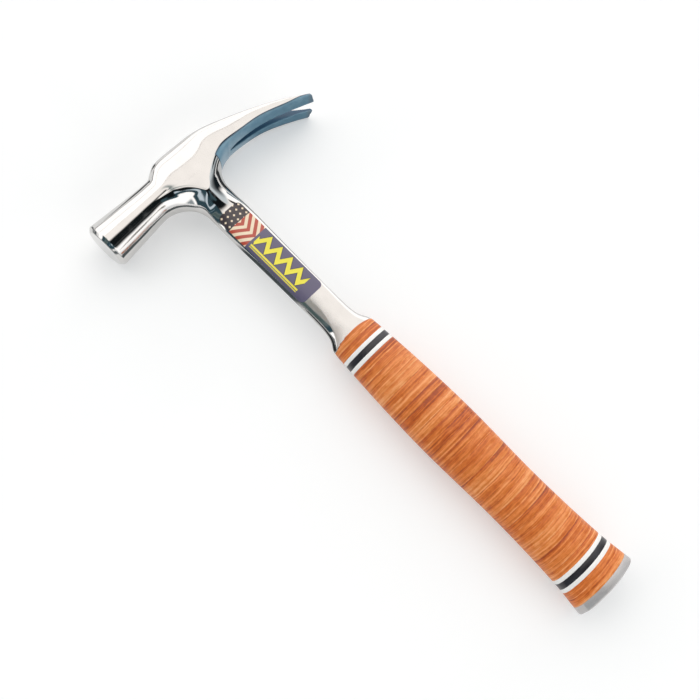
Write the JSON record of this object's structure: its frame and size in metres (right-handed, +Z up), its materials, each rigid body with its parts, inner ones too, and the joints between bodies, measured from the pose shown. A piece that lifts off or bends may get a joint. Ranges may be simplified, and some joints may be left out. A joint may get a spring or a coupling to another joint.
{
  "type": "carpenter hammer",
  "caption": "One-piece forged steel carpenter hammer with a V-slotted claw, round polished poll, flat shank and a lacquered stacked-leather grip with spacer rings and a butt cap.",
  "frame": {"origin": "centre of the bounding box in plan, on the surface the hammer lies on", "axes": "+X along the handle from the butt to the head, +Y towards the striking face, +Z up: the hammer lies on its side"},
  "size_m": [0.35, 0.1516, 0.0286],
  "materials": {
    "forged_steel": "mirror polished forged steel, the claw's underside and slot painted light blue",
    "cap_metal": "satin cast metal",
    "grip_leather": "lacquered edge-on leather",
    "white_ring": "polished white vulcanised fibre",
    "black_ring": "polished black vulcanised fibre"
  },
  "bodies": {
    "root": {"forged_head_and_shank": "forged_steel", "butt_cap": "cap_metal", "leather_washer_01": "grip_leather", "leather_washer_02": "grip_leather", "leather_washer_03": "grip_leather", "leather_washer_04": "grip_leather", "leather_washer_05": "grip_leather", "leather_washer_06": "grip_leather", "leather_washer_07": "grip_leather", "leather_washer_08": "grip_leather", "leather_washer_09": "grip_leather", "leather_washer_10": "grip_leather", "leather_washer_11": "grip_leather", "leather_washer_12": "grip_leather", "leather_washer_13": "grip_leather", "leather_washer_14": "grip_leather", "leather_washer_15": "grip_leather", "leather_washer_16": "grip_leather", "leather_washer_17": "grip_leather", "leather_washer_18": "grip_leather", "leather_washer_19": "grip_leather", "leather_washer_20": "grip_leather", "leather_washer_21": "grip_leather", "leather_washer_22": "grip_leather", "leather_washer_23": "grip_leather", "leather_washer_24": "grip_leather", "leather_washer_25": "grip_leather", "leather_washer_26": "grip_leather", "leather_washer_27": "grip_leather", "leather_washer_28": "grip_leather", "leather_washer_29": "grip_leather", "leather_washer_30": "grip_leather", "leather_washer_31": "grip_leather", "leather_washer_32": "grip_leather", "leather_washer_33": "grip_leather", "leather_washer_34": "grip_leather", "leather_washer_35": "grip_leather", "leather_washer_36": "grip_leather", "leather_washer_37": "grip_leather", "heel_ring_white_lower": "white_ring", "heel_ring_black": "black_ring", "heel_ring_white_upper": "white_ring", "neck_ring_white_lower": "white_ring", "neck_ring_black": "black_ring", "neck_ring_white_upper": "white_ring"}
  },
  "joints": []
}
